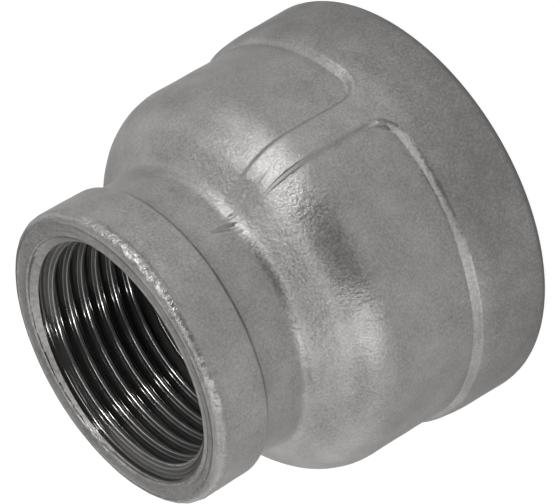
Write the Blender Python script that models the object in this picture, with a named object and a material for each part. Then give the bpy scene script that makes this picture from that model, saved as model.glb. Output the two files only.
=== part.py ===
"""A cast stainless reducing coupling: one casting with an internal pipe thread at each end.

Metres, +Z up. It stands on its large end: the origin is the centre of that face, and the bore runs along +Z.
Every size below is in millimetres, and every angle in degrees. The mesh is scaled to metres as it is made.
"""

import math

import bmesh
import bpy

MM = 0.001

LENGTH = 47.6
LARGE_CORNER = 2.0  # rounding between the outside and the large end's face
SMALL_CORNER = 1.25

# Plain skin of the body, and what is raised on it: a band round the large end, and two ribs up to the neck.
SKIN_RADIUS = 26.9
SKIN_TAPER = 0.25  # how much the plain skin narrows on its way up to the dome
# Pairs of a height and how far the band and the ribs stand over the skin there.
RAISED = ((0.0, 1.3), (8.5, 1.14), (9.9, 1.05), (11.2, 0.82), (23.7, 0.65), (31.0, 0.0))
BAND_TOP = 11.2  # where the band starts to slope down to the skin
BAND_RAMP = 1.1
RAMP_EDGE = 0.7  # share of a ramp's width that its rounded top edge takes
RAMP_FOOT = 0.2  # and the hollow at its foot
RIB_AZIMUTHS = (24.0, 204.0)
RIB_HALF_WIDTH = 1.8
RIB_RAMP = 0.7
RAMP_CORNER = 4.0  # radius of the inner corner between the band and a rib

# Dome, neck and collar.
DOME_BOTTOM = 23.7
DOME_RADIUS = 8.1
SLOPE = 57.0  # how far the slope between the dome and the neck leans in from upright
NECK_RADIUS = 19.25
NECK_HOLLOW = 2.0  # radius of the hollow between the slope and the neck
NECK_TOP = 37.1  # where the straight neck starts to widen towards the collar
NECK_RISE = 12.0  # radius of that widening
COLLAR_RADIUS = 20.1
COLLAR_BACK = 39.3
COLLAR_STEP = 0.8

# Inside: parallel pipe threads of 11 turns per inch, with a plain passage and an inner dome between them.
PITCH = 25.4 / 11
CREST_SHARE = 0.2  # of the pitch, and as much again at the root
CHAMFER_SLOPE = math.tan(math.radians(45.0))
RUNOUT_SLOPE = 0.45  # how fast the grooves deepen from a thread's inner end
SNAP = 0.08  # a thread point closer than this to the end of its socket joins that end
# "face" and "end" are the heights of a socket's mouth and inner end, and "lead" that of a crest at azimuth 0.
SMALL_THREAD = {"crest": 15.145, "root": 16.625, "mouth": 17.1, "face": LENGTH, "end": 30.4, "lead": 32.35}
LARGE_THREAD = {"crest": 22.42, "root": 23.9, "mouth": 24.45, "face": 0.0, "end": 18.8, "lead": 1.0}
PASSAGE_RADIUS = 14.0
PASSAGE_LENGTH = 1.6
PASSAGE_STEP = 0.6  # the short slope between a thread's end and the plain wall
INNER_DOME_RADIUS = 21.6
INNER_DOME_STEPS = 5

COLUMN_STEP = 8.2  # between columns of points, away from the ribs
CORNER_COLUMNS = (8.6, 12.5)  # columns on either side of a rib, from its middle, where its foot turns


def blend(low, high, value):
    """0 below low, 1 above high, and a smooth step between them."""
    share = min(max((value - low) / (high - low), 0.0), 1.0)
    return share * share * (3 - 2 * share)


def along(table, value):
    """Reads a table of (place, amount) pairs, straight from each pair to the next."""
    for (start, first), (end, second) in zip(table, table[1:]):
        if value <= end:
            return first + (second - first) * (value - start) / (end - start)
    return table[-1][1]


def sagitta(radius, offset):
    """How far an arc of this radius has bent away at this distance along its tangent."""
    return radius - math.sqrt(radius**2 - offset**2)


def slope_ends():
    """The height and radius where the dome runs into the slope, and where the slope runs into the hollow."""
    slope = math.radians(SLOPE)
    top_height = DOME_BOTTOM + DOME_RADIUS * math.sin(slope)
    top_radius = SKIN_RADIUS - SKIN_TAPER - DOME_RADIUS * (1 - math.cos(slope))
    bottom_radius = NECK_RADIUS + NECK_HOLLOW * (1 - math.cos(slope))
    bottom_height = top_height + (top_radius - bottom_radius) / math.tan(slope)
    return (top_height, top_radius), (bottom_height, bottom_radius)


def body_radius(z):
    """The outside without the band and the ribs: skin, dome, slope, hollow, neck and collar."""
    dome_end, slope_end = slope_ends()
    neck_bottom = slope_end[0] + NECK_HOLLOW * math.sin(math.radians(SLOPE))
    if z < DOME_BOTTOM:
        return SKIN_RADIUS - SKIN_TAPER * z / DOME_BOTTOM
    if z < dome_end[0]:
        return SKIN_RADIUS - SKIN_TAPER - sagitta(DOME_RADIUS, z - DOME_BOTTOM)
    if z < slope_end[0]:
        return along((dome_end, slope_end), z)
    if z < neck_bottom:
        return NECK_RADIUS + sagitta(NECK_HOLLOW, neck_bottom - z)
    neck = NECK_RADIUS + sagitta(NECK_RISE, min(max(z, NECK_TOP), COLLAR_BACK) - NECK_TOP)
    return neck + (COLLAR_RADIUS - neck) * blend(COLLAR_BACK, COLLAR_BACK + COLLAR_STEP, z)


def ramp_fall(share):
    """How far down a ramp is at this share of its width: 0 at its top edge and 1 at its foot."""
    share = min(max(share, 0.0), 1.0)
    steepest = 2 / (2 - RAMP_EDGE - RAMP_FOOT)
    if share < RAMP_EDGE:
        return steepest * share**2 / (2 * RAMP_EDGE)
    if share > 1 - RAMP_FOOT:
        return 1 - steepest * (1 - share) ** 2 / (2 * RAMP_FOOT)
    return steepest * (share - RAMP_EDGE / 2)


def raised_share(azimuth, z):
    """1 on the band and the ribs, 0 on the plain skin between them, with a slope round every edge."""
    from_rib = min(abs((azimuth - rib + 180) % 360 - 180) for rib in RIB_AZIMUTHS)
    past_rib = math.radians(from_rib) * SKIN_RADIUS - RIB_HALF_WIDTH
    past_band = z - BAND_TOP
    inside = RAMP_CORNER - math.hypot(max(RAMP_CORNER - past_rib, 0.0), max(RAMP_CORNER - past_band, 0.0))
    ramp = RIB_RAMP + (BAND_RAMP - RIB_RAMP) * blend(0.0, RAMP_CORNER, past_rib)
    return 1 - ramp_fall(inside / ramp)


def corner_inset(z):
    """How far the rounding at an end face pulls the outside in."""
    if z < LARGE_CORNER:
        return sagitta(LARGE_CORNER, LARGE_CORNER - z)
    if z > LENGTH - SMALL_CORNER:
        return sagitta(SMALL_CORNER, z - LENGTH + SMALL_CORNER)
    return 0.0


def outside(azimuth, z):
    return body_radius(z) + along(RAISED, z) * raised_share(azimuth, z) - corner_inset(z)


def outside_levels():
    """The heights of the outside's rows of points, bottom to top: closest where the outline bends most."""
    slope = math.radians(SLOPE)
    neck_bottom = slope_ends()[1][0] + NECK_HOLLOW * math.sin(slope)
    corner = [1 - math.cos(math.radians(angle)) for angle in (0, 35, 62, 90)]
    ramp = (0.0, RAMP_EDGE / 2, RAMP_EDGE, 1.0)
    levels = [LARGE_CORNER * share for share in corner]
    levels += [height for height, raised in RAISED if LARGE_CORNER < height < BAND_TOP]
    levels += [BAND_TOP + BAND_RAMP * share for share in ramp]
    levels += [BAND_TOP + (DOME_BOTTOM - BAND_TOP) * step / 3 for step in (1, 2)]
    levels += [DOME_BOTTOM + DOME_RADIUS * math.sin(slope * step / 5) for step in range(6)]
    levels += [neck_bottom - NECK_HOLLOW * math.sin(slope * step / 3) for step in (3, 2, 1, 0)]
    levels += [NECK_TOP, (NECK_TOP + COLLAR_BACK) / 2]
    levels += [COLLAR_BACK + COLLAR_STEP * step / 3 for step in range(4)]
    return levels + [LENGTH - SMALL_CORNER * share for share in reversed(corner)]


def rib_columns():
    """Azimuths of the columns on one rib, from its middle: its crown, its edges, its feet, and beside it."""
    edge = math.degrees(RIB_HALF_WIDTH / SKIN_RADIUS)
    foot = math.degrees((RIB_HALF_WIDTH + RIB_RAMP) / SKIN_RADIUS)
    side = (edge, foot) + CORNER_COLUMNS
    return [-offset for offset in reversed(side)] + [0.0] + list(side)


def columns():
    """Azimuths of the columns of points: some on each rib, and the rest spread evenly."""
    found = []
    for rib, following in zip(RIB_AZIMUTHS, RIB_AZIMUTHS[1:] + (RIB_AZIMUTHS[0] + 360,)):
        found += [rib + offset for offset in rib_columns()]
        start = rib + CORNER_COLUMNS[-1]
        end = following - CORNER_COLUMNS[-1]
        count = round((end - start) / COLUMN_STEP)
        found += [start + (end - start) * step / count for step in range(1, count)]
    return found


def vertex(mesh, azimuth, radius, z):
    angle = math.radians(azimuth)
    return mesh.verts.new((radius * math.cos(angle) * MM, radius * math.sin(angle) * MM, z * MM))


def ring(mesh, azimuths, radius, z):
    return [vertex(mesh, azimuth, radius, z) for azimuth in azimuths]


def face(mesh, corners):
    """A face through these corners in order, or none where they have run together."""
    kept = [corner for place, corner in enumerate(corners) if corner is not corners[place - 1]]
    if len(kept) > 2:
        mesh.faces.new(kept)


def join(mesh, rings):
    """Faces between each ring and the next."""
    for lower, upper in zip(rings, rings[1:]):
        for place in range(len(lower)):
            face(mesh, (lower[place - 1], lower[place], upper[place], upper[place - 1]))


def thread_radius(thread, from_crest, z):
    """The wall of a threaded socket: the thread, opened by the mouth's chamfer and fading at its inner end.

    from_crest is how far the point is from the middle of a crest, as a share of the pitch from -0.5 to 0.5.
    """
    flank = 0.5 - CREST_SHARE
    share = min(max((abs(from_crest) - CREST_SHARE / 2) / flank, 0.0), 1.0)
    wall = thread["crest"] + (thread["root"] - thread["crest"]) * share
    chamfer = thread["mouth"] - abs(z - thread["face"]) * CHAMFER_SLOPE
    runout = thread["crest"] + abs(z - thread["end"]) * RUNOUT_SLOPE
    return min(max(wall, chamfer), runout)


def threaded_wall(mesh, azimuths, thread, lower, upper):
    """A right-hand internal thread between two rings.

    Four strands climb side by side, one on each edge of the crest and of the root. Each goes round once for
    every pitch of height, and where it passes either ring it runs along that ring.
    """
    bottom = min(thread["face"], thread["end"])
    top = max(thread["face"], thread["end"])
    strands = (-CREST_SHARE / 2, CREST_SHARE / 2, 0.5 - CREST_SHARE / 2, 0.5 + CREST_SHARE / 2)
    first_turn = math.floor((bottom - thread["lead"]) / PITCH) - 2
    turns = math.ceil((top - bottom) / PITCH) + 3
    made = {}

    def point(strand, step):
        turn, column = divmod(step, len(azimuths))
        extra, strand = divmod(strand, len(strands))
        place = strand, turn + extra, column
        z = thread["lead"] + PITCH * (first_turn + turn + extra + azimuths[column] / 360 + strands[strand])
        if z < bottom + SNAP:
            return lower[column]
        if z > top - SNAP:
            return upper[column]
        if place not in made:
            from_crest = strands[strand] if strand < 3 else strands[strand] - 1
            made[place] = vertex(mesh, azimuths[column], thread_radius(thread, from_crest, z), z)
        return made[place]

    for step in range(turns * len(azimuths)):
        for strand in range(len(strands)):
            below = point(strand, step), point(strand, step + 1)
            above = point(strand + 1, step), point(strand + 1, step + 1)
            face(mesh, (below[1], below[0], above[0], above[1]))


def passage_rings(mesh, azimuths):
    """The plain wall between the two threads, from the small end's down to the large end's."""
    top = SMALL_THREAD["end"] - PASSAGE_STEP
    dome_top = top - PASSAGE_LENGTH
    dome_bottom = LARGE_THREAD["end"] + PASSAGE_STEP
    rings = [ring(mesh, azimuths, PASSAGE_RADIUS, top)]
    for step in range(INNER_DOME_STEPS + 1):
        angle = math.radians(90.0 * step / INNER_DOME_STEPS)
        radius = PASSAGE_RADIUS + (INNER_DOME_RADIUS - PASSAGE_RADIUS) * math.sin(angle)
        rings.append(ring(mesh, azimuths, radius, dome_bottom + (dome_top - dome_bottom) * math.cos(angle)))
    return rings


def coupling_mesh():
    mesh = bmesh.new()
    azimuths = columns()
    skin = [[vertex(mesh, azimuth, outside(azimuth, z), z) for azimuth in azimuths] for z in outside_levels()]
    small_mouth = ring(mesh, azimuths, SMALL_THREAD["mouth"], SMALL_THREAD["face"])
    small_end = ring(mesh, azimuths, SMALL_THREAD["crest"], SMALL_THREAD["end"])
    large_end = ring(mesh, azimuths, LARGE_THREAD["crest"], LARGE_THREAD["end"])
    large_mouth = ring(mesh, azimuths, LARGE_THREAD["mouth"], LARGE_THREAD["face"])
    join(mesh, skin + [small_mouth])
    join(mesh, [small_end] + passage_rings(mesh, azimuths) + [large_end])
    join(mesh, [large_mouth, skin[0]])
    threaded_wall(mesh, azimuths, SMALL_THREAD, small_end, small_mouth)
    threaded_wall(mesh, azimuths, LARGE_THREAD, large_mouth, large_end)
    bmesh.ops.recalc_face_normals(mesh, faces=mesh.faces)
    return mesh


def cast_stainless():
    """Pickled and blasted stainless steel: a dull grey skin."""
    material = bpy.data.materials.new("cast_stainless")
    material.use_nodes = True
    shader = material.node_tree.nodes["Principled BSDF"]
    shader.inputs["Base Color"].default_value = (0.33, 0.32, 0.315, 1)
    shader.inputs["Metallic"].default_value = 0.9
    shader.inputs["Roughness"].default_value = 0.5
    return material


def build():
    for old in list(bpy.data.objects):
        bpy.data.objects.remove(old, do_unlink=True)
    data = bpy.data.meshes.new("coupling_body")
    mesh = coupling_mesh()
    mesh.to_mesh(data)
    mesh.free()
    data.materials.append(cast_stainless())
    data.shade_smooth()
    data.set_sharp_from_angle(angle=math.radians(35))
    body = bpy.data.objects.new("coupling_body", data)
    bpy.context.scene.collection.objects.link(body)


build()
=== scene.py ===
"""The finished look of a cast stainless reducing coupling: its skin, its cut threads, and a plain studio.

Metres, +Z up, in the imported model's frame: the origin is the centre of the large end's face and the bore runs
along +Z. Every size below is in millimetres and every angle in degrees, and the mesh is scaled as it is made.
"""

import math

import bpy
from mathutils import Matrix, Vector, noise


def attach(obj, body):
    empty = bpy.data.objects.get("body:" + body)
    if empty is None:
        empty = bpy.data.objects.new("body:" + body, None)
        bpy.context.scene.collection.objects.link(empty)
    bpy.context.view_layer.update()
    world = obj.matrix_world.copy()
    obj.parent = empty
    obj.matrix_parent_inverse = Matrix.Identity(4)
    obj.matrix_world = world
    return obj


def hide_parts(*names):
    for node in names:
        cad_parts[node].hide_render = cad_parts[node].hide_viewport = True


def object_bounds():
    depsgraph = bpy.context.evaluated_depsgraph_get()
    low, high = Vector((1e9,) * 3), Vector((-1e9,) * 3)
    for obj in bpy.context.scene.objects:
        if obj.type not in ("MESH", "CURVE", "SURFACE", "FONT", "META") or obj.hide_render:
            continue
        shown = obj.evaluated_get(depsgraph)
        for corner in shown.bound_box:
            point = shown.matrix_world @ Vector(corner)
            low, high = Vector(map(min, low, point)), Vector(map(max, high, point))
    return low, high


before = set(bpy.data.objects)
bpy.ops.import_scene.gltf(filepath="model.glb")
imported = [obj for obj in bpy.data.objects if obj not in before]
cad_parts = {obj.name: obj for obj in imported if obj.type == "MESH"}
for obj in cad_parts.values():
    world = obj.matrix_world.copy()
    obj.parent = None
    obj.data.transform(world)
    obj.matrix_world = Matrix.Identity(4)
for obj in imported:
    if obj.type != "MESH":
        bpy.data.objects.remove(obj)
cad_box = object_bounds()

MM = 0.001

# ---- The body's outline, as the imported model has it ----
LENGTH = round(cad_box[1][2] / MM, 2)
LARGE_CORNER = 2.0
SMALL_CORNER = 1.25
SKIN_RADIUS = 26.9
SKIN_TAPER = 0.25
DOME_BOTTOM = 23.7
DOME_RADIUS = 8.1
SLOPE = 57.0
NECK_RADIUS = 19.25
NECK_HOLLOW = 2.0
NECK_TOP = 37.1
NECK_RISE = 12.0
COLLAR_RADIUS = 20.1
COLLAR_BACK = 39.3
COLLAR_STEP = 0.8

# ---- The raised band and ribs ----
# How far they stand over the skin: (height, over the skin).
RAISED = (
    (0.0, 1.3), (8.5, 1.14), (9.9, 1.05), (11.2, 0.82), (23.7, 0.65), (29.2, 0.50), (31.0, 0.30), (32.6, 0.0),
)
EASE = 0.25  # RAISED is averaged over this many steps of this height either side, which rounds its corners
EASE_STEPS = 3
BAND_TOP = 11.2
BAND_RAMP = 1.1
SOFT_RIB_RAMP = 0.8  # a rib's two sides: one slopes more gently than the other
SHARP_RIB_RAMP = 0.44
RIB_AZIMUTHS = (24.0, 204.0)
RIB_HALF_WIDTH = 1.8
RAMP_EDGE = 0.7  # shares of a ramp's width that its rounded top edge and foot take
RAMP_FOOT = 0.2
RAMP_CORNER = 4.0

# ---- Inside ----
PITCH = 25.4 / 11
FLANK = math.radians(62.5)  # a flank's slope against the bore
CREST_FLAT = 0.045  # half the width of a crest's flat, as a share of the pitch
CREST_ROUND = 0.06  # radius of its edges, and of the root, as shares of the pitch
ROOT_ROUND = 0.12
RIDGE = ((0.0, 0.0), (0.196, 0.0), (0.216, 0.0263), (0.230, 0.0), (0.5, 0.0))  # the tool's line on a flank
CHAMFER_SLOPE = math.tan(math.radians(45.0))
RUNOUT_SLOPE = 0.45
FADED = 0.2  # a wall this close to the fading grooves is as rough as the passage
SNAP = 0.05  # a strand's point this close to the end of a threaded wall is the end ring's own point
SMALL_THREAD = {"crest": 15.145, "mouth": 17.1, "face": LENGTH, "end": 30.4, "lead": 32.35}
LARGE_THREAD = {"crest": 22.42, "mouth": 24.45, "face": 0.0, "end": 18.8, "lead": 1.0}
# Shares of the pitch from a crest: its flat, its rounded edge, the flank with its line, and the round root.
SMALL_STRANDS = (
    0.0, 0.045, 0.072, 0.098, 0.108, 0.194, 0.196, 0.198, 0.214, 0.216, 0.218, 0.228, 0.230, 0.232, 0.385,
    0.395, 0.43, 0.465, 0.5,
)
LARGE_STRANDS = (0.0, 0.045, 0.098, 0.24, 0.394, 0.44, 0.5)
PASSAGE_RADIUS = 14.0
PASSAGE_LENGTH = 1.6
PASSAGE_STEP = 0.6
PASSAGE_RINGS = 3
INNER_DOME_RADIUS = 21.6
INNER_DOME_STEPS = 10

# ---- Mesh density ----
RIB_SPAN = 13.0  # columns of points are close together this far either side of a rib
RIB_STEP = 0.35
OPEN_STEP = 1.1
INNER_COLUMNS = 216
CORNER_STEP = 9  # degrees between the rows round a corner
# Where each stretch of rows starts, and how far apart its rows are. The last one is only the end.
SKIN_ROWS = (
    (LARGE_CORNER + 0.5, 0.7),
    (BAND_TOP, 0.1),
    (BAND_TOP + BAND_RAMP + 0.2, 0.5),
    (DOME_BOTTOM, 0.36),
    (COLLAR_BACK - 0.2, 0.1),
    (COLLAR_BACK + COLLAR_STEP + 0.2, 0.4),
    (LENGTH - SMALL_CORNER - 0.2, 0.0),
)

SKIN, MOUTH, THREAD, PASSAGE = 0, 1, 2, 3  # material slots


def blend(low, high, value):
    """0 below low, 1 above high, and a smooth step between them."""
    share = min(max((value - low) / (high - low), 0.0), 1.0)
    return share * share * (3 - 2 * share)


def bump(centre, half_width, value):
    """1 at the centre, and a smooth fall to 0 at half_width either side."""
    return 1 - blend(0.0, half_width, abs(value - centre))


def window(reach, value):
    """1 over a stretch and 0 outside it: reach is its start, where it is full, where it fades and its end."""
    start, full, fading, end = reach
    return blend(start, full, value) * (1 - blend(fading, end, value))


def turn_between(first, second):
    """The angle from the second azimuth to the first, from -180 to 180."""
    return (first - second + 180) % 360 - 180


def along(table, value):
    """The table's second number, read between its rows."""
    for (start, first), (end, second) in zip(table, table[1:]):
        if value <= end:
            return first + (second - first) * (value - start) / (end - start)
    return table[-1][1]


def sagitta(radius, offset):
    """How far an arc of this radius has bent away at this distance along its tangent."""
    return radius - math.sqrt(radius**2 - offset**2)


def slope_ends():
    """The height and radius where the dome runs into the slope, and where the slope runs into the hollow."""
    slope = math.radians(SLOPE)
    top_height = DOME_BOTTOM + DOME_RADIUS * math.sin(slope)
    top_radius = SKIN_RADIUS - SKIN_TAPER - DOME_RADIUS * (1 - math.cos(slope))
    bottom_radius = NECK_RADIUS + NECK_HOLLOW * (1 - math.cos(slope))
    bottom_height = top_height + (top_radius - bottom_radius) / math.tan(slope)
    return (top_height, top_radius), (bottom_height, bottom_radius)


def body_radius(z):
    """The outside without the band and the ribs: skin, dome, slope, hollow, neck and collar."""
    dome_end, slope_end = slope_ends()
    neck_bottom = slope_end[0] + NECK_HOLLOW * math.sin(math.radians(SLOPE))
    if z < DOME_BOTTOM:
        return SKIN_RADIUS - SKIN_TAPER * z / DOME_BOTTOM
    if z < dome_end[0]:
        return SKIN_RADIUS - SKIN_TAPER - sagitta(DOME_RADIUS, z - DOME_BOTTOM)
    if z < slope_end[0]:
        return along((dome_end, slope_end), z)
    if z < neck_bottom:
        return NECK_RADIUS + sagitta(NECK_HOLLOW, neck_bottom - z)
    neck = NECK_RADIUS + sagitta(NECK_RISE, min(max(z, NECK_TOP), COLLAR_BACK) - NECK_TOP)
    return neck + (COLLAR_RADIUS - neck) * blend(COLLAR_BACK, COLLAR_BACK + COLLAR_STEP, z)


def ramp_fall(share):
    """How far down a ramp is at this share of its width: 0 at its top edge and 1 at its foot."""
    share = min(max(share, 0.0), 1.0)
    steepest = 2 / (2 - RAMP_EDGE - RAMP_FOOT)
    if share < RAMP_EDGE:
        return steepest * share**2 / (2 * RAMP_EDGE)
    if share > 1 - RAMP_FOOT:
        return 1 - steepest * (1 - share) ** 2 / (2 * RAMP_FOOT)
    return steepest * (share - RAMP_EDGE / 2)


def raised_share(azimuth, z):
    """1 on the band and the ribs, 0 on the plain skin between them, with a slope round every edge."""
    from_rib = min((turn_between(azimuth, rib) for rib in RIB_AZIMUTHS), key=abs)
    past_rib = math.radians(abs(from_rib)) * SKIN_RADIUS - RIB_HALF_WIDTH
    past_band = z - BAND_TOP
    inside = RAMP_CORNER - math.hypot(max(RAMP_CORNER - past_rib, 0.0), max(RAMP_CORNER - past_band, 0.0))
    rib_ramp = SOFT_RIB_RAMP if from_rib > 0 else SHARP_RIB_RAMP
    ramp = rib_ramp + (BAND_RAMP - rib_ramp) * blend(0.0, RAMP_CORNER, past_rib)
    return 1 - ramp_fall(inside / ramp)


def raised_height(z):
    """RAISED with its corners rounded off."""
    steps = range(-EASE_STEPS, EASE_STEPS + 1)
    return sum(along(RAISED, z + EASE * step) for step in steps) / len(steps)


def corner_inset(z):
    """How far the rounded corner of each end has drawn in."""
    if z < LARGE_CORNER:
        return sagitta(LARGE_CORNER, LARGE_CORNER - z)
    if z > LENGTH - SMALL_CORNER:
        return sagitta(SMALL_CORNER, z - LENGTH + SMALL_CORNER)
    return 0.0


def outside(azimuth, z):
    """The casting's radius before any unevenness."""
    return body_radius(z) + raised_height(z) * raised_share(azimuth, z) - corner_inset(z)


# ---- What the casting and the lathe left on it ----
SKIN_LOW = 0.08  # how far the skin lies inside the outline, so that its waves don't stand out of it
# Layers of smooth noise: (height, size of a lump, seed).
WAVES = ((0.06, 7.0, 0.0), (0.03, 2.6, 11.0), (0.012, 1.1, 5.0))
WAVES_START = 3.0  # the waves grow to their full height over this much of the large end
RIPPLES = ((0.07, 0.8, 13.0),)
RIPPLES_HEIGHT = 34.8  # the middle of the rippled ring between the slope and the neck
RIPPLES_HALF_WIDTH = 1.5

# The mould's joint above each rib: a step that dies away round it, with a wandering line on it.
SEAM_STEP = 0.05
SEAM_HALF_WIDTH = 0.2
SEAM_SPREAD = 1.2
SEAM_BESIDE = -0.5  # degrees from the middle of the rib to the step
SEAM_REACH = (27.0, 29.5, 35.5, 38.0)
SEAM_LINE = ((28.0, -0.6), (29.3, -0.4), (30.7, -0.1), (32.2, -1.0), (33.4, -0.6), (36.0, -2.0))
SEAM_LINE_REACH = (28.8, 30.4, 32.6, 33.8)
# Ridges and grooves: (height over the skin, how far it lies beside the line, half its width).
SEAM_RIDGE = (0.06, 0.55, 0.5)
SEAM_GROOVE = (0.20, 0.0, 0.4)

CREASE_AZIMUTH = 20.0
CREASE_HEIGHT = 33.5
CREASE_SLANT = 0.9  # degrees of turn for each millimetre up
CREASE_RADIUS = 20.0  # the neck's, near enough to turn its angles into widths
CREASE_REACH = (32.6, 33.6, 35.6, 36.6)
CREASE_RIDGE = (0.07, 0.75, 0.6)
CREASE_GROOVE = (0.18, 0.0, 0.5)

# How uneven the collar's edge is on its way round: (azimuth, share).
EDGE_WEAR = (
    (-180.0, 0.4), (-60.0, 0.5), (-34.0, 0.7), (-31.0, 1.0), (-23.0, 1.0), (-20.0, 0.5), (-6.0, 0.3),
    (4.0, 0.5), (14.0, 0.6), (18.0, 1.0), (34.0, 1.0), (38.0, 0.4), (60.0, 0.12), (100.0, 0.2), (180.0, 0.4),
)
EDGE_HEIGHT = LENGTH - 0.9  # the middle of the uneven edge
EDGE_HALF_WIDTH = 1.6
EDGE_LUMPS = ((0.20, 1.5, 7.0), (0.12, 0.55, 3.0))
HOLLOW_HEIGHT = LENGTH - 2.3  # the shallow hollow behind its most worn parts
HOLLOW_HALF_WIDTH = 0.6
HOLLOW_DEPTH = 0.10
HOLLOW_WEAR = 0.4  # there is a hollow only where the edge is more worn than this

# Small hollows and nicks: (azimuth, height, half width, depth).
DENTS = (
    (-19.5, 46.4, 0.9, 0.22),
    (-17.0, 45.8, 0.6, 0.10),
    (64.0, 46.4, 2.6, 0.16),
    (52.0, 46.6, 1.0, 0.08),
    (131.0, 44.0, 0.8, 0.07),
    (243.0, 46.2, 1.1, 0.12),
    (-74.0, 30.5, 1.2, 0.06),
)


def place_of(azimuth, radius, z):
    """The point at this azimuth, distance from the Z axis and height."""
    angle = math.radians(azimuth)
    return Vector((radius * math.cos(angle), radius * math.sin(angle), z))


def lumps(where, size, seed=0.0):
    """Smooth noise from about -1 to 1, with lumps of this size."""
    return noise.noise(where / size + Vector((seed, seed, seed)))


def uneven(where, layers):
    """Layers of lumps added up."""
    return sum(height * lumps(where, size, seed) for height, size, seed in layers)


def ridge_and_groove(ridge, groove, offset):
    """A low ridge beside a groove, at this distance from the groove."""
    raised, ridge_place, ridge_half_width = ridge
    sunk, groove_place, groove_half_width = groove
    up = raised * bump(ridge_place, ridge_half_width, offset)
    return up - sunk * bump(groove_place, groove_half_width, offset)


def seam_step(azimuth, z):
    """The mould's joint above each rib: one side stands higher than the other, with a line between them."""
    lift = 0.0
    for rib in RIB_AZIMUTHS:
        offset = math.radians(turn_between(azimuth, rib + SEAM_BESIDE)) * body_radius(z)
        side = 1 - 2 * blend(-SEAM_HALF_WIDTH, SEAM_HALF_WIDTH, offset)
        lift += SEAM_STEP * window(SEAM_REACH, z) * side * math.exp(-abs(offset) / SEAM_SPREAD)
        from_line = math.radians(turn_between(azimuth, rib + along(SEAM_LINE, z))) * body_radius(z)
        lift += window(SEAM_LINE_REACH, z) * ridge_and_groove(SEAM_RIDGE, SEAM_GROOVE, from_line)
    return lift


def crease(azimuth, z):
    """A short slanting fold in the neck, beside the mould's joint, with a ridge on both sides."""
    middle = CREASE_AZIMUTH + (z - CREASE_HEIGHT) * CREASE_SLANT
    offset = abs(math.radians(turn_between(azimuth, middle)) * CREASE_RADIUS)
    return window(CREASE_REACH, z) * ridge_and_groove(CREASE_RIDGE, CREASE_GROOVE, offset)


def corner_roughness(azimuth, where, z):
    """The uneven edge between the collar and the small end's face, and the shallow hollow behind it."""
    wear = along(EDGE_WEAR, turn_between(azimuth, 0.0))
    reach = bump(EDGE_HEIGHT, EDGE_HALF_WIDTH, z) * wear
    hollow = HOLLOW_DEPTH * max(wear - HOLLOW_WEAR, 0.0) * bump(HOLLOW_HEIGHT, HOLLOW_HALF_WIDTH, z)
    return reach * uneven(where, EDGE_LUMPS) - hollow


def dents(azimuth, z):
    """How deep the nearby dents are here."""
    depth = 0.0
    for centre, height, half_width, most in DENTS:
        across = math.radians(turn_between(azimuth, centre)) * COLLAR_RADIUS
        depth += most * bump(0.0, half_width, math.hypot(across, z - height))
    return depth


def skin_radius(azimuth, z):
    """The outside with the unevenness of a cast and blasted skin, which stays inside the outline."""
    radius = outside(azimuth, z)
    where = place_of(azimuth, radius, z)
    waves = blend(0.0, WAVES_START, z) * uneven(where, WAVES)
    ripples = bump(RIPPLES_HEIGHT, RIPPLES_HALF_WIDTH, z) * uneven(where, RIPPLES)
    marks = seam_step(azimuth, z) + crease(azimuth, z) + corner_roughness(azimuth, where, z)
    return radius - SKIN_LOW + waves + ripples + marks - dents(azimuth, z)


# ---- Mesh making ----
class Build:
    """Points, faces and each face's material slot."""

    def __init__(self):
        self.points = []
        self.faces = []
        self.slots = []

    def point(self, azimuth, radius, z):
        self.points.append(place_of(azimuth, radius, z) * MM)
        return len(self.points) - 1

    def face(self, corners, slot):
        kept = [corner for place, corner in enumerate(corners) if corner != corners[place - 1]]
        if len(kept) > 2:
            self.faces.append(kept)
            self.slots.append(slot)

    def join(self, rings, slot):
        for lower, upper in zip(rings, rings[1:]):
            for place in range(len(lower)):
                self.face((lower[place - 1], lower[place], upper[place], upper[place - 1]), slot)

    def zip_rings(self, first, first_azimuths, second, second_azimuths, slot):
        """Triangles between two rings whose points are at different azimuths, both from near 0 upwards."""
        near = far = 0
        while near < len(first) or far < len(second):
            next_near = first_azimuths[near] if near < len(first) else math.inf
            next_far = second_azimuths[far] if far < len(second) else math.inf
            if next_near <= next_far:
                self.face((first[near - 1], first[near], second[far - 1]), slot)
                near += 1
            else:
                self.face((first[near - 1], second[far], second[far - 1]), slot)
                far += 1


def skin_columns():
    """Azimuths of the outside's columns of points, closest on the ribs, in rising order from 0."""
    found = []
    for rib, following in zip(RIB_AZIMUTHS, RIB_AZIMUTHS[1:] + (RIB_AZIMUTHS[0] + 360,)):
        found += spread(rib - RIB_SPAN, rib + RIB_SPAN, RIB_STEP)
        found += spread(rib + RIB_SPAN, following - RIB_SPAN, OPEN_STEP)
    return sorted(azimuth % 360 for azimuth in found)


def spread(start, end, step):
    """Evenly spaced values from start up to, and not including, end."""
    count = max(round((end - start) / step), 1)
    return [start + (end - start) * place / count for place in range(count)]


def skin_levels():
    """Heights of the outside's rows of points, from the large end's face to the small end's."""
    corner = [1 - math.cos(math.radians(angle)) for angle in range(0, 91, CORNER_STEP)]
    levels = [LARGE_CORNER * share for share in corner]
    for (start, step), (end, _) in zip(SKIN_ROWS, SKIN_ROWS[1:]):
        levels += spread(start, end, step)
    return levels + [LENGTH - SMALL_CORNER * share for share in reversed(corner)]


# ---- The threads ----
MOUTH_LUMPS = ((0.05, 2.2, 4.0), (0.04, 0.8, 9.0))
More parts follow.
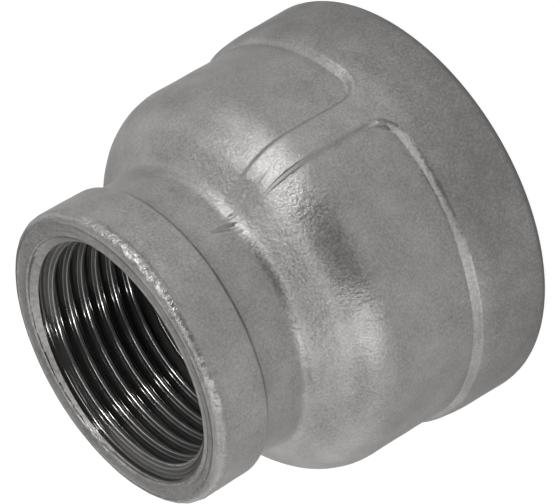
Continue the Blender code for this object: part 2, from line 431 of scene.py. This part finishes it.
# The mouth's edge, from the face inwards: (how far outside the mouth's radius, how far into the bore).
MOUTH_EDGE = ((0.16, 0.03), (0.05, 0.0), (0.0, 0.05), (-0.16, 0.2))
MOUTH_LOW = 0.02  # how far the mouth's edge lies below the outline's end
MOUTH_DEPTH = MOUTH_EDGE[-1][1] + MOUTH_LOW
CHAMFER_UNEVEN = 0.6  # the chamfer is as uneven as this share of the mouth's edge
CHAMFER_TURN = 40.0  # and its lumps turn round by this angle for each millimetre up
SPARE_TURNS = 2  # how many turns too early a thread's strands begin, to be cut off by the wall's end

# The stretch of the small mouth where the tool tore it worst.
TEAR_AZIMUTH = -152.0
TEAR_HALF_WIDTH = 34.0
TEAR_LUMPS = ((0.30, 1.3, 21.0), (0.21, 0.7, 17.0))
TEAR_DRIFT = 3.0  # how fast its lumps change down the edge


def thread_profile(from_crest):
    """Depth below the crest, as a share of the pitch: a flat crest, straight flanks and a round root."""
    crest_run = CREST_FLAT + CREST_ROUND * math.sin(FLANK)
    root_run = 0.5 - ROOT_ROUND * math.sin(FLANK)
    crest_drop = CREST_ROUND * (1 - math.cos(FLANK))
    root_drop = crest_drop + (root_run - crest_run) * math.tan(FLANK)
    place = abs(from_crest)
    if place < CREST_FLAT:
        return 0.0
    if place < crest_run:
        return sagitta(CREST_ROUND, place - CREST_FLAT)
    if place < root_run:
        return crest_drop + (place - crest_run) * math.tan(FLANK) - along(RIDGE, place)
    return root_drop + ROOT_ROUND * (1 - math.cos(FLANK)) - sagitta(ROOT_ROUND, 0.5 - place)


def thread_radius(thread, from_crest, z):
    """The wall's radius, and the slot of what shapes it: the thread, its fading end or the chamfer."""
    wall = thread["crest"] + PITCH * thread_profile(from_crest)
    chamfer = thread["mouth"] - abs(z - thread["face"]) * CHAMFER_SLOPE
    runout = thread["crest"] + abs(z - thread["end"]) * RUNOUT_SLOPE
    if runout < max(wall, chamfer) + FADED:
        return min(runout, max(wall, chamfer)), PASSAGE
    return max(wall, chamfer), MOUTH if chamfer > wall else THREAD


def mouth_wobble(azimuth, thread):
    """How unevenly the lathe cut the mouth's edge."""
    return uneven(place_of(azimuth, thread["mouth"], 0.0), MOUTH_LUMPS)


def tear(azimuth, depth, thread):
    """How far burrs and pits move the small mouth's edge, over the stretch where the tool tore it worst."""
    if thread is LARGE_THREAD:
        return 0.0
    reach = bump(0.0, TEAR_HALF_WIDTH, turn_between(azimuth, TEAR_AZIMUTH))
    return reach * uneven(place_of(azimuth, thread["mouth"], TEAR_DRIFT * depth), TEAR_LUMPS)


def threaded_wall(build, azimuths, thread, shares, lower, upper):
    """A right-hand internal thread between two rings, in strands that each go round once for every pitch."""
    ends = thread["end"], thread["face"] + (MOUTH_DEPTH if thread is LARGE_THREAD else -MOUTH_DEPTH)
    bottom = min(ends)
    top = max(ends)
    strands = [-share for share in reversed(shares[1:-1])] + list(shares)
    first_turn = math.floor((bottom - thread["lead"]) / PITCH) - SPARE_TURNS
    turns = math.ceil((top - bottom) / PITCH) + SPARE_TURNS + 1
    made = {}

    def point(strand, step):
        turn, column = divmod(step, len(azimuths))
        extra, strand = divmod(strand, len(strands))
        place = strand, turn + extra, column
        turned = first_turn + turn + extra + azimuths[column] / 360 + strands[strand]
        z = thread["lead"] + PITCH * turned
        if z < bottom + SNAP:
            return lower[column], THREAD
        if z > top - SNAP:
            return upper[column], THREAD
        if place not in made:
            radius, slot = thread_radius(thread, strands[strand], z)
            if slot == MOUTH:
                radius += CHAMFER_UNEVEN * mouth_wobble(azimuths[column] + CHAMFER_TURN * z, thread)
            made[place] = build.point(azimuths[column], radius, z), slot
        return made[place]

    for step in range(turns * len(azimuths)):
        for strand in range(len(strands)):
            below = point(strand, step), point(strand, step + 1)
            above = point(strand + 1, step + 1), point(strand + 1, step)
            slots = [corner[1] for corner in below + above]
            slot = next((slot for slot in (PASSAGE, MOUTH) if slots.count(slot) > 2), THREAD)
            build.face([corner[0] for corner in reversed(below + above)], slot)


def into(thread):
    """The direction along Z that leads into the bore from the thread's face."""
    return 1 if thread is LARGE_THREAD else -1


def mouth_rings(build, azimuths, thread):
    """The torn edge from the face down into the chamfer, from the outside in."""
    rings = []
    for out, depth in MOUTH_EDGE:
        made = []
        for azimuth in azimuths:
            torn = tear(azimuth, depth, thread)
            radius = thread["mouth"] + out + mouth_wobble(azimuth, thread) + torn
            z = thread["face"] + into(thread) * (depth + MOUTH_LOW + max(torn, 0.0))
            made.append(build.point(azimuth, radius, z))
        rings.append(made)
    return rings


# ---- The passage and the end faces ----
PASSAGE_LUMPS = ((0.08, 3.0, 0.0),)
FACE_STEPS = 10
FACE_LOW = 0.03  # how far the face lies below the outline's end
FACE_UNEVEN = 0.025
FACE_LUMP = 1.8
FACE_SEED = 2.0
FACE_SWELL = 0.9  # the part of half a wave that the face's unevenness follows across it
FACE_INSIDE = 0.3  # where the face stops, outside the mouth
# A shallow groove round the torn edge, which comes and goes in long stretches.
GROOVE_OUT = 0.5
GROOVE_HALF_WIDTH = 0.3
GROOVE_DEPTH = 0.14
GROOVE_STRETCH = 9.0
GROOVE_SEED = 6.0
GROOVE_FADE = (-0.2, 0.5)


def ring(build, azimuths, radius, z):
    return [build.point(azimuth, radius, z) for azimuth in azimuths]


def passage_rings(build, azimuths):
    """The plain passage from the small thread's end, and the dome that widens from it to the large thread."""
    top = SMALL_THREAD["end"] - PASSAGE_STEP
    dome_top = top - PASSAGE_LENGTH
    dome_bottom = LARGE_THREAD["end"] + PASSAGE_STEP
    rings = [
        ring(build, azimuths, PASSAGE_RADIUS, top - PASSAGE_LENGTH * step / PASSAGE_RINGS)
        for step in range(PASSAGE_RINGS)
    ]
    for step in range(INNER_DOME_STEPS + 1):
        angle = math.radians(90.0 * step / INNER_DOME_STEPS)
        radius = PASSAGE_RADIUS + (INNER_DOME_RADIUS - PASSAGE_RADIUS) * math.sin(angle)
        z = dome_bottom + (dome_top - dome_bottom) * math.cos(angle)
        made = []
        for azimuth in azimuths:
            cast = uneven(place_of(azimuth, radius, z), PASSAGE_LUMPS)
            made.append(build.point(azimuth, radius + cast, z))
        rings.append(made)
    return rings


def face_rings(build, azimuths, outer_radius, thread):
    """The flat end from its rounded corner in to the mouth: uneven, with a groove outside the torn edge."""
    inner_radius = thread["mouth"] + FACE_INSIDE
    rings = []
    for step in range(1, FACE_STEPS + 1):
        share = step / FACE_STEPS
        radius = outer_radius + (inner_radius - outer_radius) * share
        swell = math.sin(math.pi * share * FACE_SWELL)
        made = []
        for azimuth in azimuths:
            stretch = lumps(place_of(azimuth, GROOVE_STRETCH, 0.0), GROOVE_STRETCH, GROOVE_SEED)
            groove = GROOVE_DEPTH * bump(thread["mouth"] + GROOVE_OUT, GROOVE_HALF_WIDTH, radius)
            where = place_of(azimuth, radius, thread["face"])
            sink = FACE_LOW + FACE_UNEVEN * (1 + lumps(where, FACE_LUMP, FACE_SEED)) * swell
            sink += groove * blend(*GROOVE_FADE, stretch)
            made.append(build.point(azimuth, radius, thread["face"] + into(thread) * sink))
        rings.append(made)
    return rings


def coupling():
    """The whole casting as one closed mesh: the outside, both faces and mouths, and the bore."""
    build = Build()
    columns = skin_columns()
    inner = [360.0 * (step + 0.5) / INNER_COLUMNS for step in range(INNER_COLUMNS)]
    skin = [[build.point(azimuth, skin_radius(azimuth, z), z) for azimuth in columns] for z in skin_levels()]
    small_face = face_rings(build, columns, COLLAR_RADIUS - SMALL_CORNER, SMALL_THREAD)
    large_face = face_rings(build, columns, SKIN_RADIUS + RAISED[0][1] - LARGE_CORNER, LARGE_THREAD)
    build.join(list(reversed(large_face)) + skin + small_face, SKIN)
    small_mouth = mouth_rings(build, inner, SMALL_THREAD)
    large_mouth = mouth_rings(build, inner, LARGE_THREAD)
    build.zip_rings(small_face[-1], columns, small_mouth[0], inner, SKIN)
    build.zip_rings(large_mouth[0], inner, large_face[-1], columns, SKIN)
    build.join(small_mouth, MOUTH)
    build.join(list(reversed(large_mouth)), MOUTH)
    small_end = ring(build, inner, SMALL_THREAD["crest"], SMALL_THREAD["end"])
    large_end = ring(build, inner, LARGE_THREAD["crest"], LARGE_THREAD["end"])
    build.join([small_end] + passage_rings(build, inner) + [large_end], PASSAGE)
    threaded_wall(build, inner, SMALL_THREAD, SMALL_STRANDS, small_end, small_mouth[-1])
    threaded_wall(build, inner, LARGE_THREAD, LARGE_STRANDS, large_mouth[-1], large_end)
    data = bpy.data.meshes.new("coupling")
    data.from_pydata(build.points, [], build.faces)
    data.polygons.foreach_set("material_index", build.slots)
    data.shade_smooth()
    data.validate()
    return bpy.data.objects.new("coupling", data)


# ---- Material parts ----
USUAL_NOISE = (0.3, 0.7)  # the range that most of a noise node's values are in


def node(tree, kind, **settings):
    """A new node, with each setting given to its property or input of that name."""
    made = tree.nodes.new(kind)
    for name, value in settings.items():
        if hasattr(made, name):
            setattr(made, name, value)
        else:
            made.inputs[name].default_value = value
    return made


def object_place(tree):
    """The point's place on the object, from the tree's one Texture Coordinate node."""
    place = tree.nodes.get("place") or node(tree, "ShaderNodeTexCoord", name="place")
    return place.outputs["Object"]


def apart(tree, vector):
    """The X, Y and Z of a vector."""
    parts = node(tree, "ShaderNodeSeparateXYZ")
    tree.links.new(vector, parts.inputs[0])
    return parts.outputs["X"], parts.outputs["Y"], parts.outputs["Z"]


def together(tree, **parts):
    """A vector from its X, Y and Z."""
    made = node(tree, "ShaderNodeCombineXYZ")
    for name, value in parts.items():
        tree.links.new(value, made.inputs[name.upper()])
    return made.outputs[0]


def noise_node(tree, size, detail, roughness, coordinates=None):
    """Noise with lumps of this size in millimetres."""
    made = node(tree, "ShaderNodeTexNoise", Scale=1 / (size * MM), Detail=detail, Roughness=roughness)
    if coordinates is None:
        coordinates = object_place(tree)
    tree.links.new(coordinates, made.inputs["Vector"])
    return made.outputs["Fac"]


def ranged(tree, value, low, high, to_low, to_high):
    """The value carried from one range to another, and held at its ends."""
    made = node(tree, "ShaderNodeMapRange")
    tree.links.new(value, made.inputs["Value"])
    for name, number in (("From Min", low), ("From Max", high), ("To Min", to_low), ("To Max", to_high)):
        made.inputs[name].default_value = number
    return made.outputs["Result"]


def math_node(tree, operation, *values):
    """A sum on numbers and node outputs."""
    made = node(tree, "ShaderNodeMath", operation=operation)
    for socket, value in zip(made.inputs, values):
        if isinstance(value, (int, float)):
            socket.default_value = value
        else:
            tree.links.new(value, socket)
    return made.outputs[0]


def colour_mix(tree, share, first, second):
    """The first colour where the share is 0 and the second where it is 1. Either may come from a node."""
    made = node(tree, "ShaderNodeMix", data_type="RGBA")
    tree.links.new(share, made.inputs["Factor"])
    for name, value in (("A", first), ("B", second)):
        socket = [s for s in made.inputs if s.name == name and s.type == "RGBA"][0]
        if isinstance(value, tuple):
            socket.default_value = (*value, 1.0)
        else:
            tree.links.new(value, socket)
    return [s for s in made.outputs if s.type == "RGBA"][0]


def bump_node(tree, height, strength, distance, normal=None):
    """Bumps of this height in millimetres, laid over another node's normal if there is one."""
    made = node(tree, "ShaderNodeBump", Strength=strength, Distance=distance * MM)
    tree.links.new(height, made.inputs["Height"])
    if normal is not None:
        tree.links.new(normal, made.inputs["Normal"])
    return made.outputs["Normal"]


def from_axis(tree):
    """The point's distance from the Z axis."""
    x, y, _ = apart(tree, object_place(tree))
    length = node(tree, "ShaderNodeVectorMath", operation="LENGTH")
    tree.links.new(together(tree, x=x, y=y), length.inputs[0])
    return length.outputs["Value"]


def turn_from(tree, azimuth):
    """The angle round the Z axis between the point and this azimuth, in radians."""
    turned = node(tree, "ShaderNodeVectorRotate", rotation_type="Z_AXIS", Angle=math.radians(-azimuth))
    tree.links.new(object_place(tree), turned.inputs["Vector"])
    x, y, _ = apart(tree, turned.outputs[0])
    return math_node(tree, "ABSOLUTE", math_node(tree, "ARCTAN2", y, x))


def new_material(name):
    material = bpy.data.materials.new(name)
    material.use_nodes = True
    return material, material.node_tree, material.node_tree.nodes["Principled BSDF"]


# ---- The cast skin ----
SKIN_METALLIC = 0.92
SKIN_LIGHT = (0.56, 0.545, 0.533)
SKIN_DARK = (0.26, 0.253, 0.248)
SKIN_ROUGH = (0.34, 0.47)
# Noise: size of a lump, detail and roughness.
BLOTCHES = (5.0, 4.0, 0.6)
SPECKLE = (0.32, 3.0, 0.75)
SKIN_SWELL = (1.1, 2.0, 0.5)
SKIN_GRAIN = (0.36, 3.0, 0.6)
BLOTCH_SHARE = 0.35  # how much of the shade the blotches make; the speckle makes the rest
SWELL_HEIGHT = 0.055
GRAIN_HEIGHT = 0.065

# How much darker the band is, and the painted shade at the large end's rounded corner: (from height, to height,
# how much).
BAND_DULLING = (BAND_TOP - 2, BAND_TOP + 2, 0.25)
# The corner's darkening is painted shade where the rounded corner turns away from the light.
CORNER_DULLING = (0.5, 1.6, 0.7)

EDGE_CORE = 0.3  # half the width of the collar's edge that is roughest
EDGE_NOISE = (0.7, 2.0, 0.5)
EDGE_BUMP = 0.35
EDGE_BUMP_HALF_WIDTH = 0.85
EDGE_BUMP_TURN = (12.0, 34.0, 1.0, 0.35)  # its bump falls off between two angles from the worn stretch

WORN_AZIMUTH = 27.0  # the middle of the stretch of the collar's edge that is most worn and carries the painted highlight
# The lighter colour is a painted highlight on the worn edge; the smoothing is wear.
WORN_LIGHT = (0.72, 0.706, 0.693)
WORN_NOISE = (0.8, 3.0, 0.6)
WORN_PATCHES = (0.40, 0.58)
WORN_HALF_WIDTH = 0.65
WORN_TURN = (6.0, 14.0, 0.9, 0.12)
WORN_SMOOTHER = 0.05


def cast_skin():
    """Blasted and pickled stainless: dull grey with a fine grain, a little blotchy."""
    material, tree, shader = new_material("cast_skin")
    speckle = noise_node(tree, *SPECKLE)
    coarse = ranged(tree, noise_node(tree, *BLOTCHES), *USUAL_NOISE, 0.0, BLOTCH_SHARE)
    fine = ranged(tree, speckle, *USUAL_NOISE, 0.0, 1 - BLOTCH_SHARE)
    # The band is darker, and the large end's corner has painted shade.
    shade = math_node(tree, "SUBTRACT", math_node(tree, "ADD", coarse, fine), dulling(tree))
    worn = worn_edge(tree)
    base = colour_mix(tree, shade, SKIN_DARK, SKIN_LIGHT)
    # Lighter colour on the worn edge: a painted highlight.
    tree.links.new(colour_mix(tree, worn, base, WORN_LIGHT), shader.inputs["Base Color"])
    rough = ranged(tree, speckle, *USUAL_NOISE, *SKIN_ROUGH)
    rough = math_node(tree, "SUBTRACT", rough, math_node(tree, "MULTIPLY", worn, WORN_SMOOTHER))
    tree.links.new(rough, shader.inputs["Roughness"])
    shader.inputs["Metallic"].default_value = SKIN_METALLIC
    normal = bump_node(tree, noise_node(tree, *SKIN_SWELL), 1.0, SWELL_HEIGHT)
    normal = bump_node(tree, noise_node(tree, *SKIN_GRAIN), 1.0, GRAIN_HEIGHT, normal)
    tree.links.new(bump_node(tree, edge_lumps(tree), 1.0, EDGE_BUMP, normal), shader.inputs["Normal"])
    return material


def dulling(tree):
    """How much darker the skin is on the band, and the painted shade at the large end's rounded corner."""
    height = apart(tree, object_place(tree))[2]
    band, corner = (
        ranged(tree, height, low * MM, high * MM, share, 0.0)
        for low, high, share in (BAND_DULLING, CORNER_DULLING)
    )
    return math_node(tree, "ADD", band, corner)


def edge_reach(tree, half_width):
    """1 on the uneven edge of the collar, falling to 0 either side of it."""
    height = apart(tree, object_place(tree))[2]
    from_edge = math_node(tree, "ABSOLUTE", math_node(tree, "SUBTRACT", height, EDGE_HEIGHT * MM))
    return ranged(tree, from_edge, EDGE_CORE * MM, half_width * MM, 1.0, 0.0)


def near_worn(tree, low, high, at_low, at_high):
    """A share that changes with the angle from the most worn stretch of the collar's edge, where its painted
    highlight is.
    """
    turn = turn_from(tree, WORN_AZIMUTH)
    return ranged(tree, turn, math.radians(low), math.radians(high), at_low, at_high)


def worn_edge(tree):
    """Patches on the collar's edge that are smoother from wear and painted lighter as a highlight, most of them
    over one stretch of it.
    """
    patches = ranged(tree, noise_node(tree, *WORN_NOISE), *WORN_PATCHES, 0.0, 1.0)
    patches = math_node(tree, "MULTIPLY", near_worn(tree, *WORN_TURN), patches)
    return math_node(tree, "MULTIPLY", patches, edge_reach(tree, WORN_HALF_WIDTH))


def edge_lumps(tree):
    """Coarse lumps on the uneven edge of the collar, strongest over its worn stretch."""
    lumpy = math_node(tree, "MULTIPLY", near_worn(tree, *EDGE_BUMP_TURN), noise_node(tree, *EDGE_NOISE))
    return math_node(tree, "MULTIPLY", edge_reach(tree, EDGE_BUMP_HALF_WIDTH), lumpy)


# ---- The cut threads ----
THREAD_METALLIC = 0.88
THREAD_LIGHT = (0.30, 0.293, 0.287)
THREAD_DARK = (0.18, 0.176, 0.172)
# The dull part of the turn is painted darker: painted shade.
STAINED_LIGHT = (0.19, 0.186, 0.182)
STAINED_DARK = (0.11, 0.108, 0.105)
# The colour of the painted highlights on the crests and down the flanks.
BURNISHED_LIGHT = (0.78, 0.765, 0.75)
BURNISHED = ((0.5, 0.28), (1.0, 0.18))  # painted highlight lines: (depth of a line down the flank, how bright)
CREST_SHARE = 0.45  # how bright a crest's painted highlight is where the thread is dull
LINE_CORE = 0.03
LINE_HALF_WIDTH = 0.10
CREST_CHANGE = 1.0  # between the two threads, the crest's radius goes from one to the other over this much
THREAD_SMOOTH = 0.10  # roughness where the tool ran clean
THREAD_DULL = 0.38  # and elsewhere
CLEAN_CUT = (176.5, 31.0, 9.0)  # azimuth of the clean part's middle, its half width, and how far it fades
STREAKS = (0.12, 3.0, 0.6)
STREAK_STRETCH = 0.001  # how little the streaks change on their way round
STREAK_ROUGH = 0.06
STREAK_BUMP = (0.3, 0.01)


def turned_streaks(tree):
    """Noise drawn out round the Z axis, as a tool leaves it."""
    x, y, z = apart(tree, object_place(tree))
    turn = math_node(tree, "MULTIPLY", math_node(tree, "ARCTAN2", y, x), STREAK_STRETCH)
    return noise_node(tree, *STREAKS, together(tree, x=from_axis(tree), y=turn, z=z))


def dulled(tree):
    """0 on the part of the turn that was cut clean, and 1 on the rest, which is rougher and painted darker as
    shade.
    """
    middle, half_width, fade = CLEAN_CUT
    start = math.radians(half_width - fade / 2)
    end = math.radians(half_width + fade / 2)
    return ranged(tree, turn_from(tree, middle), start, end, 0.0, 1.0)


def burnished_lines(tree, dull):
    """Painted highlight: 1 on each crest, less along lines down a dull flank, and 0 between them."""
    radius = from_axis(tree)
    small = SMALL_THREAD["crest"] * MM
    large = LARGE_THREAD["crest"] * MM
    halfway = (small + large) / 2
    crest = ranged(tree, radius, halfway, halfway + CREST_CHANGE * MM, small, large)
    depth = math_node(tree, "SUBTRACT", radius, crest)
    found = ranged(tree, depth, LINE_CORE * MM, LINE_HALF_WIDTH * MM, 1.0, 0.0)
    found = math_node(tree, "MULTIPLY", found, ranged(tree, dull, 0.0, 1.0, 1.0, CREST_SHARE))
    for line, share in BURNISHED:
        away = math_node(tree, "ABSOLUTE", math_node(tree, "SUBTRACT", depth, line * MM))
        mask = ranged(tree, away, LINE_CORE * MM, LINE_HALF_WIDTH * MM, share, 0.0)
        found = math_node(tree, "MAXIMUM", found, math_node(tree, "MULTIPLY", mask, dull))
    return found


def cut_thread():
    """Cut steel with the tool's fine lines round it: smooth over one part of the turn, dull over the rest. The
    dull part is painted darker as shade, and the crests carry painted highlights.
    """
    material, tree, shader = new_material("cut_thread")
    streaks = turned_streaks(tree)
    shade = ranged(tree, streaks, *USUAL_NOISE, 0.0, 1.0)
    dull = dulled(tree)
    clean = colour_mix(tree, shade, THREAD_DARK, THREAD_LIGHT)
    # The dull part's darker colours are painted shade.
    stained = colour_mix(tree, shade, STAINED_DARK, STAINED_LIGHT)
    base = colour_mix(tree, dull, clean, stained)
    # Painted highlights on the crests and along lines down the dull flanks.
    base = colour_mix(tree, burnished_lines(tree, dull), base, BURNISHED_LIGHT)
    tree.links.new(base, shader.inputs["Base Color"])
    rough = ranged(tree, dull, 0.0, 1.0, THREAD_SMOOTH, THREAD_DULL)
    rough = math_node(tree, "ADD", rough, ranged(tree, streaks, *USUAL_NOISE, 0.0, STREAK_ROUGH))
    tree.links.new(rough, shader.inputs["Roughness"])
    shader.inputs["Metallic"].default_value = THREAD_METALLIC
    tree.links.new(bump_node(tree, streaks, *STREAK_BUMP), shader.inputs["Normal"])
    return material


# ---- The mouths and the passage ----
MOUTH_METALLIC = 0.9
MOUTH_DARK = (0.27, 0.262, 0.256)
MOUTH_LIGHT = (0.46, 0.447, 0.437)
MOUTH_ROUGH = (0.38, 0.55)
MOUTH_TORN = (0.7, 4.0, 0.65)
MOUTH_PATCHES = (0.35, 0.65)
PASSAGE_METALLIC = 0.5
# The passage's dark colours are painted shade.
PASSAGE_DARK = (0.05, 0.048, 0.046)
PASSAGE_LIGHT = (0.10, 0.097, 0.094)
PASSAGE_ROUGH = 0.75
PASSAGE_MOTTLE = (1.2, 4.0, 0.65)
ROUGH_BUMP = (1.0, 0.08)


def cut_mouth():
    """The chamfer: cut, then dulled by blasting, and rough where the tool tore it."""
    material, tree, shader = new_material("cut_mouth")
    torn = noise_node(tree, *MOUTH_TORN)
    patches = ranged(tree, torn, *MOUTH_PATCHES, 0.0, 1.0)
    tree.links.new(colour_mix(tree, patches, MOUTH_DARK, MOUTH_LIGHT), shader.inputs["Base Color"])
    tree.links.new(ranged(tree, torn, *USUAL_NOISE, *MOUTH_ROUGH), shader.inputs["Roughness"])
    shader.inputs["Metallic"].default_value = MOUTH_METALLIC
    tree.links.new(bump_node(tree, torn, *ROUGH_BUMP), shader.inputs["Normal"])
    return material


def as_cast_passage():
    """The wall between the two threads, left as cast: rougher than the outside, and painted dark as shade."""
    material, tree, shader = new_material("as_cast_passage")
    mottle = noise_node(tree, *PASSAGE_MOTTLE)
    tree.links.new(colour_mix(tree, mottle, PASSAGE_DARK, PASSAGE_LIGHT), shader.inputs["Base Color"])
    shader.inputs["Metallic"].default_value = PASSAGE_METALLIC
    shader.inputs["Roughness"].default_value = PASSAGE_ROUGH
    tree.links.new(bump_node(tree, mottle, *ROUGH_BUMP), shader.inputs["Normal"])
    return material


# ---- The piece ----
piece = coupling()
bpy.context.scene.collection.objects.link(piece)
for material in (cast_skin(), cut_mouth(), cut_thread(), as_cast_passage()):  # in the order of the slots
    piece.data.materials.append(material)
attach(piece, "root")
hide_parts("coupling_body")


# ---- Studio, in metres ----
WHITE = (1.0, 1.0, 1.0, 1.0)
FLOOR_HALF = 1.5
FLOOR_GAP = 0.00002  # the floor lies this far below the part, so that the two don't share a plane
FLOOR_GREY = (0.72, 0.72, 0.72, 1.0)
FLOOR_ROUGH = 0.9
FLOOR_WHITE = 1.2
FLOOR_SHARE = 0.8  # how much of what the camera sees of the floor is plain white
WORLD_LIGHT = 0.02
LIGHT_DISTANCE = 0.6
LIGHT_AIM = (0.0, 0.0, 0.025)

# Softboxes: name, azimuth, elevation, width, height and power.
LIGHTS = (
    ("left_strip", 42, 22, 0.026, 0.5, 1.15),
    ("left_fill", 75, 10, 0.45, 0.25, 0.45),
    ("right_strip", -53, 20, 0.026, 0.45, 0.85),
    ("right_fill", -95, 10, 0.4, 0.25, 0.36),
    ("right_high", -70, 56, 0.17, 0.17, 0.38),
    ("top", 22, 69, 0.34, 0.1, 0.5),
    ("left_high", 58, 46, 0.13, 0.13, 0.48),
    ("left_side", 102, 44, 0.4, 0.3, 0.37),
    ("right_side", -112, 46, 0.3, 0.3, 0.36),
    ("back", 180, 50, 0.5, 0.34, 0.54),
    ("back_left", 134, 14, 0.52, 0.25, 0.4),
    ("back_right", -140, 11, 0.52, 0.25, 0.46),
)

# The camera's place and aim, its roll, and its lens and sensor, in millimetres and degrees again.
CAMERA_PLACE = (309.27, 0.0, 197.63)
CAMERA_AIM = (0.0, 1.2528, 19.3946)
CAMERA_ROLL = -120.382
CAMERA_LENS = 180.885
SENSOR_WIDTH = 36.0
CAMERA_CLIP = (0.01, 20.0)  # metres


def mix_shaders(tree, share, first, second):
    mixed = node(tree, "ShaderNodeMixShader")
    tree.links.new(share, mixed.inputs[0])
    tree.links.new(first.outputs[0], mixed.inputs[1])
    tree.links.new(second.outputs[0], mixed.inputs[2])
    return mixed.outputs[0]


def floor():
    """A plain pale floor, which the camera sees nearly white."""
    corners = [(x * FLOOR_HALF, y * FLOOR_HALF, 0) for x, y in ((-1, -1), (1, -1), (1, 1), (-1, 1))]
    data = bpy.data.meshes.new("floor")
    data.from_pydata(corners, [], [(0, 1, 2, 3)])
    made = bpy.data.objects.new("floor", data)
    made.location.z = -FLOOR_GAP
    bpy.context.scene.collection.objects.link(made)
    material, tree, shader = new_material("floor_paper")
    shader.inputs["Base Color"].default_value = FLOOR_GREY
    shader.inputs["Roughness"].default_value = FLOOR_ROUGH
    white = node(tree, "ShaderNodeEmission", Strength=FLOOR_WHITE)
    seen = node(tree, "ShaderNodeLightPath").outputs["Is Camera Ray"]
    mixed = mix_shaders(tree, math_node(tree, "MULTIPLY", seen, FLOOR_SHARE), shader, white)
    tree.links.new(mixed, tree.nodes["Material Output"].inputs["Surface"])
    data.materials.append(material)


def soft_world():
    """White where the camera looks past the floor, and dim for everything else."""
    world = bpy.data.worlds.new("studio")
    world.use_nodes = True
    tree = world.node_tree
    dim = tree.nodes["Background"]
    dim.inputs["Color"].default_value = WHITE
    dim.inputs["Strength"].default_value = WORLD_LIGHT
    white = node(tree, "ShaderNodeBackground", Color=WHITE)
    seen = node(tree, "ShaderNodeLightPath").outputs["Is Camera Ray"]
    tree.links.new(mix_shaders(tree, seen, dim, white), tree.nodes["World Output"].inputs["Surface"])
    bpy.context.scene.world = world


def softbox(name, azimuth, elevation, width, height, power):
    """An area light aimed at the middle of the part. Its height runs up and its width across."""
    data = bpy.data.lights.new(name, "AREA")
    data.shape = "RECTANGLE"
    data.size = width
    data.size_y = height
    data.energy = power
    made = bpy.data.objects.new(name, data)
    flat = math.cos(math.radians(elevation))
    towards = place_of(azimuth, flat, math.sin(math.radians(elevation)))
    made.location = Vector(LIGHT_AIM) + towards * LIGHT_DISTANCE
    made.rotation_euler = towards.to_track_quat("Z", "Y").to_euler()
    made.visible_camera = False
    bpy.context.scene.collection.objects.link(made)


def camera():
    """A long lens, looking down on the part and rolled so that the small end points to the lower left."""
    data = bpy.data.cameras.new("camera")
    data.sensor_width = SENSOR_WIDTH
    data.sensor_fit = "HORIZONTAL"
    data.lens = CAMERA_LENS
    data.clip_start, data.clip_end = CAMERA_CLIP
    made = bpy.data.objects.new("camera", data)
    bpy.context.scene.collection.objects.link(made)
    location = Vector(CAMERA_PLACE) * MM
    forward = (Vector(CAMERA_AIM) * MM - location).normalized()
    right = forward.cross(Vector((0, 0, 1))).normalized()
    up = right.cross(forward)
    roll = math.radians(CAMERA_ROLL)
    across = right * math.cos(roll) + up * math.sin(roll)
    above = up * math.cos(roll) - right * math.sin(roll)
    turned = Matrix((across, above, -forward)).transposed()
    made.matrix_world = Matrix.Translation(location) @ turned.to_4x4()
    bpy.context.scene.camera = made


bpy.context.scene.view_settings.view_transform = "Standard"
floor()
soft_world()
for light in LIGHTS:
    softbox(*light)
camera()
